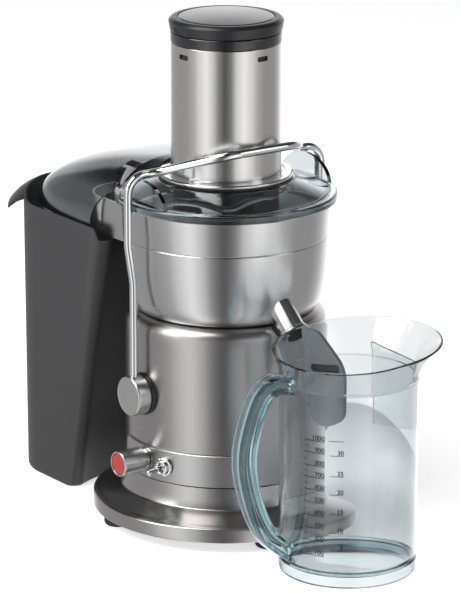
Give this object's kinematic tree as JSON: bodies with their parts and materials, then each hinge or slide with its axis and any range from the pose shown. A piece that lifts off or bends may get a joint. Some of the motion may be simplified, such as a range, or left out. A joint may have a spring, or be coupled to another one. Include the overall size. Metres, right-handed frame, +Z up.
{
  "type": "centrifugal juicer",
  "caption": "Centrifugal juicer: round motor base, steel filter bowl with spout, clear cover with feed chute and pusher, locking arm, pulp bin and clear jug.",
  "frame": {"origin": "on the surface it stands on, under the middle of the bounding box of machine, bin and jug", "axes": "+Z up, +X from the pulp bin to the jug, -Y is the side with the power button"},
  "size_m": [0.4645, 0.2215, 0.423],
  "materials": {
    "brushed_steel": "brushed",
    "panel_steel": "brushed",
    "polished_steel": "polished",
    "charcoal_plastic": "satin",
    "gloss_cap": "gloss",
    "black_plastic": "satin",
    "rubber": "matte",
    "clear_cover": "clear",
    "clear_jug": "clear",
    "red_button": "gloss",
    "copper": "enamelled",
    "board": "matte"
  },
  "bodies": {
    "base": {"foot_1": "rubber", "foot_2": "rubber", "foot_3": "rubber", "foot_4": "rubber", "base_skirt": "brushed_steel", "base_plate": "charcoal_plastic", "cord_gland": "rubber", "speed_board": "board", "board_heatsink": "polished_steel", "motor_housing": "brushed_steel", "control_panel": "panel_steel", "power_bush": "polished_steel", "toggle_bush": "polished_steel", "pivot_boss_front": "black_plastic", "pivot_boss_rear": "black_plastic", "pivot_pin_front": "polished_steel", "pivot_pin_rear": "polished_steel", "motor_frame": "brushed_steel", "motor_stator": "copper", "bearing_lower": "polished_steel", "bearing_upper": "polished_steel", "motor_brush_front": "black_plastic", "motor_brush_rear": "black_plastic", "drive_seal": "rubber", "filter_bowl": "brushed_steel", "spout_collar": "clear_jug", "juicer_cover": "clear_cover", "feed_chute": "black_plastic", "chute_sleeve": "brushed_steel", "sleeve_base_ring": "polished_steel", "chute_ring": "black_plastic"},
    "rotor": {"motor_shaft": "polished_steel", "armature": "copper", "commutator": "copper", "motor_fan": "charcoal_plastic", "drive_coupling": "black_plastic"},
    "basket": {"basket_hub": "charcoal_plastic", "filter_basket": "brushed_steel", "grating_disc": "polished_steel"},
    "pusher": {"pusher_body": "charcoal_plastic", "pusher_cap": "charcoal_plastic", "pusher_cap_disc": "gloss_cap"},
    "arm": {"locking_arm": "polished_steel", "arm_knob_front": "brushed_steel", "arm_knob_rear": "brushed_steel"},
    "button": {"power_button": "polished_steel", "power_button_cap": "red_button"},
    "toggle": {"toggle_lever": "polished_steel"},
    "bin": {"pulp_bin": "charcoal_plastic"},
    "jug": {"jug_body": "clear_jug", "jug_handle": "clear_jug", "froth_separator": "clear_jug", "juice_guide": "charcoal_plastic"}
  },
  "joints": [
    {"name": "motor_spin", "type": "hinge", "parent": "base", "child": "rotor", "pos_m": [0.0035, 0, 0], "axis": [0, 0, 1], "continuous": true},
    {"name": "basket_spin", "type": "hinge", "parent": "base", "child": "basket", "pos_m": [0.0035, 0, 0], "axis": [0, 0, 1], "continuous": true},
    {"name": "pusher_lift", "type": "slide", "parent": "base", "child": "pusher", "axis": [0, 0, 1], "range_m": [0, 0.17]},
    {"name": "arm_swing", "type": "hinge", "parent": "base", "child": "arm", "pos_m": [0.0035, 0, 0.1171], "axis": [0, 1, 0], "range_deg": [0, 48]},
    {"name": "button_press", "type": "slide", "parent": "base", "child": "button", "axis": [-0.0349, 0.9994, 0], "range_m": [0, 0.003], "stiffness_N_per_m": 400},
    {"name": "toggle_tilt", "type": "hinge", "parent": "base", "child": "toggle", "pos_m": [0.03152, -0.08374, 0.061], "axis": [0, 0, 1], "range_deg": [-12, 12]},
    {"name": "bin_slide", "type": "slide", "parent": "base", "child": "bin", "axis": [-1, 0, 0], "range_m": [0, 0.15]},
    {"name": "jug_slide", "type": "slide", "parent": "base", "child": "jug", "axis": [1, 0, 0], "range_m": [0, 0.15]}
  ],
  "couplings": [
    {"joint": "basket_spin", "follows": "motor_spin", "ratio": 1}
  ]
}
